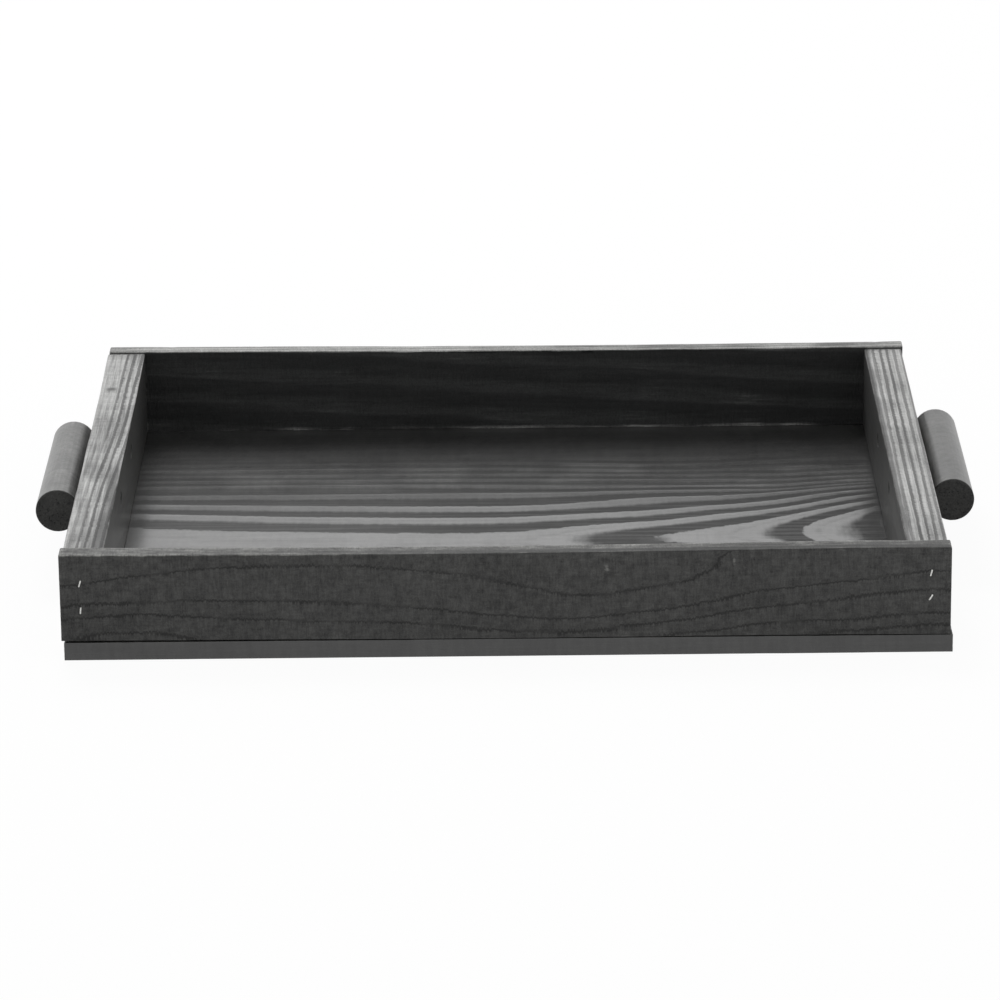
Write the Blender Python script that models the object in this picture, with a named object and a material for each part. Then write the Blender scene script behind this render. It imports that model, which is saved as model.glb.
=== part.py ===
"""Serving tray: a flat base panel under a low frame of four boards, with a round dowel as a grip at each end.

Metres, +Z up, +X to the right along the long boards, +Y towards the back. The origin is under the middle of the
tray, on the surface that it stands on. The long boards run over the ends of the thicker end boards and are
stapled to them, a little higher than the end boards, so a thin gap stays between them and the base panel.
"""

import math

import bmesh
import bpy
from mathutils import Matrix, Vector

# Frame
TRAY_LENGTH = 0.450  # length of the two long boards
TRAY_DEPTH = 0.350  # from the front board's face to the back board's
BOARD_HEIGHT = 0.045  # all four boards come from stock of this width
FRONT_BOARD_THICKNESS = 0.012
BACK_BOARD_THICKNESS = 0.0095
END_BOARD_THICKNESS = 0.021
LONG_BOARD_OVERHANG = 0.001  # how far a long board's ends pass the end boards' outer faces
LONG_BOARD_LIFT = 0.0015  # gap under the long boards
LONG_BOARD_EASE = 0.0006  # radius on a long board's edges
END_BOARD_EASE = 0.0008

# Base panel
BASE_THICKNESS = 0.0095
BASE_SETBACK = 0.0005  # its front and back edges behind the long boards' faces
BASE_SHIFT = 0.0012  # it is fixed on this far to the right
BASE_EASE = 0.0005

# Grips
GRIP_DIAMETER = 0.023
LEFT_GRIP_LENGTH = 0.117
RIGHT_GRIP_LENGTH = 0.120
RIGHT_GRIP_SHIFT = 0.005  # it is screwed on this far towards the back
GRIP_DROP = 0.0033  # top of the grip below the end board's top edge
GRIP_FLAT_WIDTH = 0.007  # flat planed along the dowel, where it meets the board
GRIP_EASE = 0.0009  # radius round the sawn ends
GRIP_SIDES = 72

# Staples: a narrow crown of flat wire with two legs, cut to a chisel point
STAPLE_CROWN = 0.0042  # across the crown, outside the legs
STAPLE_WIRE_WIDTH = 0.0009  # of the wire, across the crown and the legs
STAPLE_WIRE_DEPTH = 0.0010  # of the crown, from its face down, and of the legs along the crown
STAPLE_LENGTH = 0.028
STAPLE_TIP_LENGTH = 0.0020
STAPLE_TIP_WIDTH = 0.0003
STAPLE_SINK = 0.0002  # crown below the wood's face

# Where the staples go
CORNER_STAPLE_INSET = 0.0103  # from the long board's end
LEFT_STAPLE_HEIGHT_SHARES = (0.35, 0.67)  # lower and upper, as shares of the board's height
RIGHT_STAPLE_HEIGHT_SHARES = (0.41, 0.70)
LEFT_STAPLE_LEANS = (math.radians(5), math.radians(17))  # crown from upright, top to the right at the front
RIGHT_STAPLE_LEANS = (math.radians(31), math.radians(15))
BASE_STAPLE_PLACE_SHARES = (0.08, 0.36, 0.64, 0.92)  # shares of the end board's length
BASE_STAPLE_LEAN = math.radians(60)  # crown from the end board's length

# Grip screws, countersunk, driven from inside the end boards
SCREW_LENGTH = 0.035
SCREW_SHANK_DIAMETER = 0.0035
SCREW_HEAD_DIAMETER = 0.0070
SCREW_HEAD_DEPTH = 0.0022
SCREW_RIM_DEPTH = 0.0003
SCREW_TIP_LENGTH = 0.0050
SCREW_TIP_DIAMETER = 0.0006
SCREW_SINK = 0.0003
SCREW_SPACING_SHARE = 0.68  # distance between a grip's two screws, as a share of its length
SCREW_SIDES = 24
RECESS_SPAN = 0.0042  # cross recess in the screw's head, tip to tip
RECESS_WING = 0.0010  # thickness of each wing of the cross
RECESS_DEPTH = 0.0014
RECESS_TAPER_SHARE = 0.45  # the recess narrows to this share of its mouth

# Fits
SEAT_GAP = 0.0003  # between faces that meet
HOLE_CLEARANCE = 0.0003  # round each staple and screw
CUT_OVERRUN = 0.001  # how far a cutter reaches past the face that it opens
EASE_SEGMENTS = 3
ROUND_ANGLE = math.radians(30)

# Places worked out from the sizes above
BASE_TOP = BASE_THICKNESS
END_BOARD_BOTTOM = BASE_TOP + SEAT_GAP
END_BOARD_TOP = END_BOARD_BOTTOM + BOARD_HEIGHT
END_BOARD_FRONT = -TRAY_DEPTH / 2 + FRONT_BOARD_THICKNESS + SEAT_GAP
END_BOARD_BACK = TRAY_DEPTH / 2 - BACK_BOARD_THICKNESS - SEAT_GAP
END_BOARD_LENGTH = END_BOARD_BACK - END_BOARD_FRONT
END_BOARD_CENTRE = (END_BOARD_BACK + END_BOARD_FRONT) / 2
END_BOARD_OUTER = TRAY_LENGTH / 2 - LONG_BOARD_OVERHANG
END_BOARD_INNER = END_BOARD_OUTER - END_BOARD_THICKNESS
END_BOARD_MIDDLE = END_BOARD_OUTER - END_BOARD_THICKNESS / 2
LONG_BOARD_BOTTOM = BASE_TOP + LONG_BOARD_LIFT
GRIP_RADIUS = GRIP_DIAMETER / 2
GRIP_FLAT_REACH = math.sqrt(GRIP_RADIUS**2 - (GRIP_FLAT_WIDTH / 2) ** 2)  # axis to planed flat
GRIP_AXIS_X = END_BOARD_OUTER + SEAT_GAP + GRIP_FLAT_REACH
GRIP_AXIS_Z = END_BOARD_TOP - GRIP_DROP - GRIP_RADIUS

SIDES = {"left": -1, "right": 1}
ENDS = {"front": -1, "back": 1}
LONG_BOARD_THICKNESSES = {"front": FRONT_BOARD_THICKNESS, "back": BACK_BOARD_THICKNESS}
GRIP_LENGTHS = {"left": LEFT_GRIP_LENGTH, "right": RIGHT_GRIP_LENGTH}
GRIP_MIDDLES = {"left": 0, "right": RIGHT_GRIP_SHIFT}  # their places along Y


def clear_scene():
    for thing in list(bpy.data.objects):
        bpy.data.objects.remove(thing, do_unlink=True)


def make_material(name, colour, roughness, metallic):
    material = bpy.data.materials.new(name)
    material.use_nodes = True
    shader = material.node_tree.nodes["Principled BSDF"]
    shader.inputs["Base Color"].default_value = (*colour, 1)
    shader.inputs["Roughness"].default_value = roughness
    shader.inputs["Metallic"].default_value = metallic
    return material


def add_object(name, shape, material, parent):
    """Turns a bmesh into a named object with smooth shading on its round faces."""
    mesh = bpy.data.meshes.new(name)
    bmesh.ops.recalc_face_normals(shape, faces=shape.faces)
    shape.to_mesh(mesh)
    shape.free()
    mesh.shade_smooth()
    mesh.set_sharp_from_angle(angle=ROUND_ANGLE)
    if material:
        mesh.materials.append(material)
    thing = bpy.data.objects.new(name, mesh)
    thing.parent = parent
    bpy.context.collection.objects.link(thing)
    return thing


def ease_edges(thing, width):
    """Rounds the sharp edges as a pass with sandpaper does. Each piece is eased before it is drilled."""
    bevel = thing.modifiers.new("eased_edges", "BEVEL")
    bevel.width = width
    bevel.segments = EASE_SEGMENTS
    bevel.limit_method = "ANGLE"
    bevel.angle_limit = ROUND_ANGLE


def make_board(name, size, middle, ease, material, parent):
    """A planed board of the given size, with its middle at the given place."""
    shape = bmesh.new()
    bmesh.ops.create_cube(shape, size=1)
    bmesh.ops.scale(shape, vec=Vector(size), verts=shape.verts)
    board = add_object(name, shape, material, parent)
    board.location = middle
    ease_edges(board, ease)
    return board


def make_grip(side, way, material, parent):
    """A sawn length of dowel along Y, with a narrow flat planed on the side that meets the end board."""
    shape = bmesh.new()
    bmesh.ops.create_cone(
        shape,
        cap_ends=True,
        segments=GRIP_SIDES,
        radius1=GRIP_RADIUS,
        radius2=GRIP_RADIUS,
        depth=GRIP_LENGTHS[side],
        matrix=Matrix.Rotation(math.radians(90), 4, "X"),
    )
    planed = bmesh.ops.bisect_plane(
        shape,
        geom=shape.verts[:] + shape.edges[:] + shape.faces[:],
        plane_co=(-way * GRIP_FLAT_REACH, 0, 0),
        plane_no=(-way, 0, 0),
        clear_outer=True,
    )
    rim = [item for item in planed["geom_cut"] if isinstance(item, bmesh.types.BMEdge)]
    bmesh.ops.contextual_create(shape, geom=rim)
    grip = add_object(f"{side}_grip", shape, material, parent)
    grip.location = (way * GRIP_AXIS_X, GRIP_MIDDLES[side], GRIP_AXIS_Z)
    ease_edges(grip, GRIP_EASE)
    return grip


def extrude_outline(outline, depth):
    """A closed solid from an outline in the YZ plane, extruded along X and centred on it."""
    shape = bmesh.new()
    face = shape.faces.new([shape.verts.new((-depth / 2, y, z)) for y, z in outline])
    swept = bmesh.ops.extrude_face_region(shape, geom=[face])
    moved = [item for item in swept["geom"] if isinstance(item, bmesh.types.BMVert)]
    bmesh.ops.translate(shape, vec=(depth, 0, 0), verts=moved)
    return shape


def staple_outline(top, tip_width, grown):
    """The staple seen from its side: the crown along Y with its face at the top, and two legs down -Z.

    The legs narrow to the tip width on their inner sides. Grown is added all round, for the hole.
    """
    outside = STAPLE_CROWN / 2 + grown
    inside = STAPLE_CROWN / 2 - STAPLE_WIRE_DEPTH - grown
    under_crown = -STAPLE_WIRE_DEPTH - grown
    shoulder = STAPLE_TIP_LENGTH - STAPLE_LENGTH
    tip = -STAPLE_LENGTH - grown
    right_leg = (
        (outside, top),
        (outside, tip),
        (outside - tip_width, tip),
        (inside, shoulder),
        (inside, under_crown),
    )
    left_leg = [(-y, z) for y, z in reversed(right_leg)]
    return [*right_leg, *left_leg]


def staple_shape():
    """A staple that points down -Z, with the middle of its crown's face at the origin."""
    return extrude_outline(staple_outline(0, STAPLE_TIP_WIDTH, 0), STAPLE_WIRE_WIDTH)


def staple_hole_shape():
    """The slot that a staple makes: its own outline with the clearance round it, open at the crown."""
    outline = staple_outline(
        STAPLE_SINK + CUT_OVERRUN,
        STAPLE_WIRE_DEPTH + 2 * HOLE_CLEARANCE,
        HOLE_CLEARANCE,
    )
    return extrude_outline(outline, STAPLE_WIRE_WIDTH + 2 * HOLE_CLEARANCE)


def turn_profile(profile):
    """A closed solid turned about Z from a profile of radius and height that ends on the axis both ways."""
    shape = bmesh.new()
    points = [shape.verts.new((radius, 0, height)) for radius, height in profile]
    edges = [shape.edges.new(pair) for pair in zip(points, points[1:])]
    bmesh.ops.spin(
        shape,
        geom=points + edges,
        axis=(0, 0, 1),
        cent=(0, 0, 0),
        angle=math.tau,
        steps=SCREW_SIDES,
        use_merge=True,
    )
    bmesh.ops.remove_doubles(shape, verts=shape.verts, dist=SCREW_TIP_DIAMETER / SCREW_SIDES)
    return shape


def screw_shape():
    """A countersunk wood screw that points down -Z, with the face of its head at the origin."""
    head = SCREW_HEAD_DIAMETER / 2
    shank = SCREW_SHANK_DIAMETER / 2
    return turn_profile((
        (0, 0),
        (head, 0),
        (head, -SCREW_RIM_DEPTH),
        (shank, -SCREW_HEAD_DEPTH),
        (shank, SCREW_TIP_LENGTH - SCREW_LENGTH),
        (SCREW_TIP_DIAMETER / 2, -SCREW_LENGTH),
        (0, -SCREW_LENGTH),
    ))


def screw_hole_shape():
    """Countersink and pilot hole for a grip screw, with the clearance all round."""
    head = SCREW_HEAD_DIAMETER / 2 + HOLE_CLEARANCE
    shank = SCREW_SHANK_DIAMETER / 2 + HOLE_CLEARANCE
    mouth = SCREW_SINK + CUT_OVERRUN
    end = -SCREW_LENGTH - HOLE_CLEARANCE
    return turn_profile((
        (0, mouth),
        (head, mouth),
        (head, -SCREW_RIM_DEPTH - HOLE_CLEARANCE),
        (shank, -SCREW_HEAD_DEPTH - HOLE_CLEARANCE),
        (shank, end),
        (0, end),
    ))


def recess_shape():
    """The tapered cross that a driver bit fits, cut down from the face of a screw's head."""
    shape = bmesh.new()
    reach = RECESS_SPAN / 2
    wing = RECESS_WING / 2
    quarter = ((wing, reach), (wing, wing), (reach, wing))
    rings = []
    for height, share in ((CUT_OVERRUN, 1), (0, 1), (-RECESS_DEPTH, RECESS_TAPER_SHARE)):
        ring = []
        for turn in range(4):
            turned = Matrix.Rotation(-turn * math.radians(90), 2)
            for point in quarter:
                x, y = turned @ Vector(point)
                ring.append(shape.verts.new((x * share, y * share, height)))
        rings.append(ring)
    for upper, lower in zip(rings, rings[1:]):
        for i, corner in enumerate(upper):
            following = (i + 1) % len(upper)
            shape.faces.new((corner, upper[following], lower[following], lower[i]))
    shape.faces.new(rings[0])
    shape.faces.new(rings[-1])
    return shape


def make_cutter(name, shape, parent):
    cutter = add_object(name, shape, None, parent)
    cutter.display_type = "WIRE"
    cutter.hide_render = True
    return cutter


def cut(thing, cutter):
    """Takes the cutter's shape out of a piece."""
    difference = thing.modifiers.new(cutter.name, "BOOLEAN")
    difference.operation = "DIFFERENCE"
    difference.solver = "EXACT"
    difference.object = cutter


def drive_into(direction, turn=0):
    """Rotation that points a fastener, made along -Z, in this direction, after a turn about its own length."""
    pointed = Vector((0, 0, -1)).rotation_difference(Vector(direction)).to_matrix()
    return (pointed @ Matrix.Rotation(turn, 3, "Z")).to_euler()


def drive_fastener(name, shapes, place, rotation, pieces, material, parent):
    """Sets a fastener in the hole that it makes in each piece that it passes through."""
    solid_shape, hole_shape = shapes
    fastener = add_object(name, solid_shape(), material, parent)
    hole = make_cutter(f"{name}_hole", hole_shape(), parent)
    for thing in (fastener, hole):
        thing.location = place
        thing.rotation_euler = rotation
    for piece in pieces:
        cut(piece, hole)
    return fastener


def make_frame(wood, parent):
    """The two long boards and the two end boards, each by its end or side."""
    long_boards = {
        end: make_board(
            f"{end}_board",
            (TRAY_LENGTH, LONG_BOARD_THICKNESSES[end], BOARD_HEIGHT),
            (0, way * (TRAY_DEPTH - LONG_BOARD_THICKNESSES[end]) / 2, LONG_BOARD_BOTTOM + BOARD_HEIGHT / 2),
            LONG_BOARD_EASE,
            wood,
            parent,
        )
        for end, way in ENDS.items()
    }
    end_boards = {
        side: make_board(
            f"{side}_end_board",
            (END_BOARD_THICKNESS, END_BOARD_LENGTH, BOARD_HEIGHT),
            (way * END_BOARD_MIDDLE, END_BOARD_CENTRE, END_BOARD_BOTTOM + BOARD_HEIGHT / 2),
            END_BOARD_EASE,
            wood,
            parent,
        )
        for side, way in SIDES.items()
    }
    return long_boards, end_boards


def staple_corners(long_boards, end_boards, steel, parent):
    """Two staples through each end of each long board, into the end grain of an end board."""
    settings = {
        "left": (LEFT_STAPLE_HEIGHT_SHARES, LEFT_STAPLE_LEANS),
        "right": (RIGHT_STAPLE_HEIGHT_SHARES, RIGHT_STAPLE_LEANS),
    }
    for side, side_way in SIDES.items():
        for end, end_way in ENDS.items():
            for level, share, lean in zip(("lower", "upper"), *settings[side]):
                place = (
                    side_way * (TRAY_LENGTH / 2 - CORNER_STAPLE_INSET),
                    end_way * (TRAY_DEPTH / 2 - STAPLE_SINK),
                    LONG_BOARD_BOTTOM + share * BOARD_HEIGHT,
                )
                drive_fastener(
                    f"corner_staple_{end}_{side}_{level}",
                    (staple_shape, staple_hole_shape),
                    place,
                    drive_into((0, -end_way, 0), -lean),
                    (long_boards[end], end_boards[side]),
                    steel,
                    parent,
                )


def staple_base(base, end_boards, steel, parent):
    """Staples up through the base panel into the middle of each end board."""
    for side, side_way in SIDES.items():
        for number, share in enumerate(BASE_STAPLE_PLACE_SHARES, 1):
            drive_fastener(
                f"base_staple_{side}_{number}",
                (staple_shape, staple_hole_shape),
                (side_way * END_BOARD_MIDDLE, END_BOARD_FRONT + share * END_BOARD_LENGTH, STAPLE_SINK),
                drive_into((0, 0, 1), BASE_STAPLE_LEAN),
                (base, end_boards[side]),
                steel,
                parent,
            )


def screw_grips(end_boards, grips, steel, parent):
    """Two screws from inside each end board into its dowel."""
    for side, side_way in SIDES.items():
        reach = SCREW_SPACING_SHARE * GRIP_LENGTHS[side] / 2
        for end, end_way in ENDS.items():
            name = f"grip_screw_{side}_{end}"
            along = GRIP_MIDDLES[side] + end_way * reach
            place = (side_way * (END_BOARD_INNER + SCREW_SINK), along, GRIP_AXIS_Z)
            rotation = drive_into((side_way, 0, 0))
            screw = drive_fastener(
                name,
                (screw_shape, screw_hole_shape),
                place,
                rotation,
                (end_boards[side], grips[side]),
                steel,
                parent,
            )
            recess = make_cutter(f"{name}_recess", recess_shape(), parent)
            recess.location = place
            recess.rotation_euler = rotation
            cut(screw, recess)


def build_tray():
    clear_scene()
    board_wood = make_material("black_stained_board", (0.050, 0.050, 0.047), 0.55, 0)
    floor_wood = make_material("black_stained_panel", (0.055, 0.055, 0.053), 0.40, 0)
    grip_wood = make_material("black_stained_dowel", (0.060, 0.060, 0.057), 0.55, 0)
    bright_steel = make_material("bright_staple_wire", (0.55, 0.55, 0.54), 0.35, 1)
    black_steel = make_material("black_screw_steel", (0.04, 0.04, 0.04), 0.45, 1)

    tray = bpy.data.objects.new("tray", None)
    bpy.context.collection.objects.link(tray)

    base = make_board(
        "base_panel",
        (TRAY_LENGTH, TRAY_DEPTH - 2 * BASE_SETBACK, BASE_THICKNESS),
        (BASE_SHIFT, 0, BASE_THICKNESS / 2),
        BASE_EASE,
        floor_wood,
        tray,
    )
    long_boards, end_boards = make_frame(board_wood, tray)
    grips = {side: make_grip(side, way, grip_wood, tray) for side, way in SIDES.items()}

    staple_corners(long_boards, end_boards, bright_steel, tray)
    staple_base(base, end_boards, bright_steel, tray)
    screw_grips(end_boards, grips, black_steel, tray)


build_tray()
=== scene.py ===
import math

import bpy
import numpy as np
from mathutils import Matrix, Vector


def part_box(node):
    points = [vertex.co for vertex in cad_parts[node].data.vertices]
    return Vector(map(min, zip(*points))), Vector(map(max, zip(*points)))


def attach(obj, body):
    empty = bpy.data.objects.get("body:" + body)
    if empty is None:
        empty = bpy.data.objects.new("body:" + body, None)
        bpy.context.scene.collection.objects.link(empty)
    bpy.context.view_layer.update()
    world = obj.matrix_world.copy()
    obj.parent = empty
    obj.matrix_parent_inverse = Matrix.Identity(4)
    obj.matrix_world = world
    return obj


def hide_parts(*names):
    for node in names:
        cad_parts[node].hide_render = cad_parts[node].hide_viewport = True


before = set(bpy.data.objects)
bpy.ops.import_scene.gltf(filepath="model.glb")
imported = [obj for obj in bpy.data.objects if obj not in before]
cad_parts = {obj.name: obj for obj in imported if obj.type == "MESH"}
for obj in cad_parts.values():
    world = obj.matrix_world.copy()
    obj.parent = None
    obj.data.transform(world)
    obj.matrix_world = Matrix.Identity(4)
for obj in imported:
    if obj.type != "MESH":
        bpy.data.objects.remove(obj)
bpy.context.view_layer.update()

# The camera stands well back with a long lens, a little to the right of the tray's middle and about
# nineteen degrees above it, so the front board faces it squarely and the floor shows over that board's top
# edge.

camera_place = (0.006776, -2.630657, 0.929968)
camera_pitch = math.radians(19.011)
camera_yaw = math.radians(-0.2099)
camera_roll = math.radians(-0.6457)
camera_lens = 186.54

camera = bpy.data.objects.new("camera", bpy.data.cameras.new("camera"))
bpy.context.collection.objects.link(camera)
camera.data.lens = camera_lens
camera.data.sensor_width = 36.0
camera.data.clip_end = 50.0
camera.matrix_world = (
    Matrix.Translation(camera_place)
    @ Matrix.Rotation(-camera_yaw, 4, "Z")
    @ Matrix.Rotation(math.pi / 2 - camera_pitch, 4, "X")
    @ Matrix.Rotation(camera_roll, 4, "Z")
)
bpy.context.scene.camera = camera
bpy.context.scene.view_settings.view_transform = "Standard"

# Studio light: a white surround that lights from all round, and one broad soft lamp high behind the tray,
# which gives the upward faces more light than the upright ones. Reflections see the surround as plain
# white.

surround_light = 0.62
lamp_power = 26.0
lamp_size = 0.95
lamp_place = (-0.5, 1.3, 2.1)


def add_node(tree, kind, inputs=None, output=0, **settings):
    """Adds a shader node. Inputs maps a socket's name or number to a socket to link or to a value to
    set."""
    node = tree.nodes.new("ShaderNode" + kind)
    for setting, value in settings.items():
        setattr(node, setting, value)
    for key, source in (inputs or {}).items():
        if isinstance(source, bpy.types.NodeSocket):
            tree.links.new(source, node.inputs[key])
        else:
            node.inputs[key].default_value = source
    return node.outputs[output]


def calculate(tree, operation, *values):
    """Adds a Math node. Each value is a number or a socket."""
    return add_node(tree, "Math", dict(enumerate(values)), operation=operation)


def seen_directly(tree):
    """1 where the camera sees a surface itself, mirrored or through glass, and 0 for light on its way
    round."""
    path = tree.nodes.new("ShaderNodeLightPath").outputs
    mirrored = calculate(tree, "MAXIMUM", path["Is Glossy Ray"], path["Is Transmission Ray"])
    return calculate(tree, "MAXIMUM", path["Is Camera Ray"], mirrored)


world = bpy.data.worlds.new("studio")
world.use_nodes = True
bpy.context.scene.world = world
surround = world.node_tree.nodes["Background"]
surround.inputs["Color"].default_value = (1, 1, 1, 1)
strength = {"Value": seen_directly(world.node_tree), "To Min": surround_light, "To Max": 1.0}
world.node_tree.links.new(add_node(world.node_tree, "MapRange", strength), surround.inputs["Strength"])

lamp = bpy.data.objects.new("lamp", bpy.data.lights.new("lamp", "AREA"))
bpy.context.collection.objects.link(lamp)
lamp.data.energy = lamp_power
lamp.data.size = lamp_size
lamp.location = lamp_place
lamp.rotation_euler = (-lamp.location).to_track_quat("-Z", "Y").to_euler()

# The tray stands on a plain white table top that runs out of sight, and keeps only a soft shadow.

table_reach = 4.0
table_glow = 0.95

table_mesh = bpy.data.meshes.new("table_top")
table_corners = [(x * table_reach, y * table_reach, 0) for x, y in ((-1, -1), (1, -1), (1, 1), (-1, 1))]
table_mesh.from_pydata(table_corners, [], [(0, 1, 2, 3)])
table = bpy.data.objects.new("table_top", table_mesh)
bpy.context.collection.objects.link(table)
table_material = bpy.data.materials.new("white_table")
table_material.use_nodes = True
tree = table_material.node_tree
tree.nodes.clear()
shown = calculate(tree, "MULTIPLY", seen_directly(tree), table_glow)
lit = add_node(tree, "BsdfDiffuse", {"Color": (0.96, 0.96, 0.96, 1)})
glow = add_node(tree, "Emission", {"Color": (1, 1, 1, 1), "Strength": 1.0})
mixed = add_node(tree, "MixShader", {0: shown, 1: lit, 2: glow})
tree.links.new(mixed, tree.nodes.new("ShaderNodeOutputMaterial").inputs["Surface"])
table_mesh.materials.append(table_material)

# Base panel: one flat softwood panel under the whole frame, stained black and lacquered. Its figure is a
# wide flat cut's: long bands that run with the tray, and the noses of an arch at the right of the front.

panel_ease = 0.0005
panel_steps = (0.0042, 0.0018, 0.0016)
panel_relief = 0.00006
panel_ring_depth = 3.4  # millimetres of the panel's thickness to a year
panel_band = (0.05, 0.42, 0.64)  # as dark_band takes it, in shares of a year
panel_heart = (-29.49, 41.06, 13.71, 0.0003, 1.583)  # as year_count takes it, and the hills too
panel_hills = (
    (-1.16, -329.8, 20.6, 196.1, 37.3),
    (1.20, 93.7, 65.6, 58.4, 52.3),
    (-2.60, 216.5, -59.5, 47.8, 90.0),
    (1.47, 200.6, -17.2, 25.0, 30.9),
    (-4.22, 262.9, 11.9, 118.2, 57.0),
    (0.88, 82.3, 10.4, 36.9, 27.7),
    (-1.60, 86.3, 22.0, 48.5, 57.4),
    (-0.55, 52.1, 48.9, 257.8, 13.4),
    (-0.88, -121.3, 67.6, 259.1, 10.8),
)
panel_left_years = ((0, 4.2, 5.0, 5.75, 7.05, 7.95, 8.65, 9.4, 20), (0, 4.2, 5, 6, 7, 8, 9, 10, 24))
panel_right_years = (
    (0, 3.8, 4.0, 4.45, 5.4, 6.35, 7.4, 8.5, 9.5, 20),
    (0, 3.8, 4.05, 5, 6, 7, 8, 9, 10, 24),
)
panel_scratches = (  # strength of each, then its place and reach, as swelling takes them
    (0.60, -0.1787, 0.1576, 0.0009, 0.0040),
    (0.40, 0.0420, 0.1430, 0.0006, 0.0060),
    (0.30, 0.1680, 0.1450, 0.0010, 0.0050),
)
panel_pools = (  # how much stain lies in each, then its place and reach
    (0.60, -0.142, 0.1040, 0.018, 0.0020),
    (0.75, -0.103, 0.1070, 0.008, 0.0028),
    (0.55, -0.082, 0.1075, 0.012, 0.0018),
    (0.60, -0.067, 0.1075, 0.007, 0.0036),
    (0.80, -0.179, 0.1265, 0.005, 0.0030),
    (0.35, 0.157, 0.1280, 0.022, 0.0120),
    (0.55, 0.185, 0.0955, 0.020, 0.0026),
    (0.95, 0.045, 0.0573, 0.105, 0.0019),
    (0.60, 0.055, 0.0700, 0.055, 0.0014),
    (0.95, 0.0785, -0.0285, 0.0078, 0.0070),
)
panel_rub = 0.42  # of a band across the floor, behind its middle
panel_rub_starts = (0.050, 0.060)
panel_rub_ends = (0.108, 0.094)
panel_back_figure = 0.5  # of its strength in front
panel_back_places = (0.090, 0.107, 0.116, 0.125, 0.134, 0.143, 0.152, 0.160)  # distances behind the middle
panel_back_painted_shade = (0.0, 0.30, 0.62, 0.80, 0.93, 0.97, 0.85, 0.75)  # painted shadow of the back board there, as a share
scratch_grid = (0.0024, 0.0006)  # half width of the closer grid over a scratch or chip, and its step

knock_count = 26  # on each board
knock_share = 0.7  # of their places across the grain are on a face, and where both are, it is an edge
knock_reach = 0.0022
knock_growth = 0.9  # of an edge's radius at a knock, as a share of it
edge_unevenness = 0.3  # of an edge's radius, as a share of it
edge_wave = 0.02  # over which that radius changes
foot_sharpness = 0.85  # how much of the radius is missing at a board's foot
foot_height = 0.004
edge_rub_width = 1.6  # of the strip that rubs thin along an edge, in radii
edge_rub_wave = 0.012
shift_height = 0.006  # over which a board that isn't quite straight at an edge gets straight again


def smooth_step(start, end, value):
    """Rises from 0 to 1 between start and end, level at both: 3 t squared less 2 t cubed."""
    share = np.clip((value - start) / (end - start), 0, 1)
    return share * share * (3 - 2 * share)


def wander(points, reach, seed):
    """An uneven value from about -1 to 1 that changes smoothly over the given reach: the mean of a few sine
    waves, each along a direction of its own, spread to that range."""
    waves = 7
    dice = np.random.default_rng(seed)
    ways = dice.normal(size=(waves, 3)) * (2.2 / reach)
    return np.sin(points @ ways.T + dice.uniform(0, math.tau, waves)).mean(axis=1) * 1.6


def swelling(x, y, middle_x, middle_y, reach_x, reach_y, power=2):
    """1 in the middle of a spot and less all round it: e to the minus of the two distances over the
    reaches, each raised to the power. With 4 the middle is flatter and the sides steeper than with 2."""
    return np.exp(-(((x - middle_x) / reach_x) ** power) - ((y - middle_y) / reach_y) ** power)


def node_box(node):
    """Lowest and highest corner of a CAD node, as arrays."""
    low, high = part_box(node)
    return np.array(low), np.array(high)


def node_middle(node):
    """Middle of a CAD node's box."""
    return np.mean(node_box(node), axis=0)


def grid_lines(low, high, ease, step, closer=()):
    """Places of a grid's lines from one face of a board to the other. Each eased edge has lines at both
    ends and at half its turn, and two more behind it. The rest stand a step apart, or closer in each span
    of (from, to, step)."""
    edge = ease * np.array((0.0, 1 - math.tan(math.pi / 8), 1.0, 2.2, 4.0))
    middle = np.linspace(low + edge[-1], high - edge[-1], max(2, round((high - low) / step)))[1:-1]
    for start, end, fine in closer:
        middle = middle[(middle < start - fine / 2) | (middle > end + fine / 2)]
        middle = np.append(middle, np.linspace(start, end, round((end - start) / fine) + 1))
    return np.unique(np.concatenate([low + edge, middle, high - edge]))


def box_skin(lines):
    """Closed skin of a box: each of its six faces is a grid on two of the three sets of lines, turned
    outwards, and the points that neighbouring faces share are welded."""
    points, quads, count = [], [], 0
    for axis in range(3):
        along, across = (axis + 1) % 3, (axis + 2) % 3
        for end in (0, -1):
            grid = np.empty((len(lines[along]), len(lines[across]), 3))
            grid[..., along] = lines[along][:, None]
            grid[..., across] = lines[across]
            grid[..., axis] = lines[axis][end]
            index = count + np.arange(grid.size // 3).reshape(grid.shape[:2])
            count += index.size
            corners = [index[:-1, :-1], index[1:, :-1], index[1:, 1:], index[:-1, 1:]]
            if end == 0:
                corners.reverse()
            points.append(grid.reshape(-1, 3))
            quads.append(np.stack([corner.ravel() for corner in corners], axis=1))
    points, quads = np.concatenate(points), np.concatenate(quads)
    _, first, welded = np.unique(np.round(points * 1e7), axis=0, return_index=True, return_inverse=True)
    return points[first], welded.reshape(-1)[quads]


def year_count(along, across, depth, heart, hills):
    """Counts a flat-cut board's growth rings, in millimetres over its wide face. From the heart line (its
    place across, how far it lies behind the face, ring width, growth of the rings, first count) the count
    rises as the distance from the heart does. Each hill of (rise, along, across, reach along, reach across)
    adds a rounded swelling, as the trunk has round a knot. Depth is what the thickness adds to it."""
    middle, behind, width, growth, first = heart
    side = across - middle
    years = first + (np.sqrt(side**2 + behind**2) - behind) / width * (1 + growth * side) + depth
    for rise, *hill in hills:
        years = years + rise * swelling(along, across, *hill)
    return years


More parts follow.
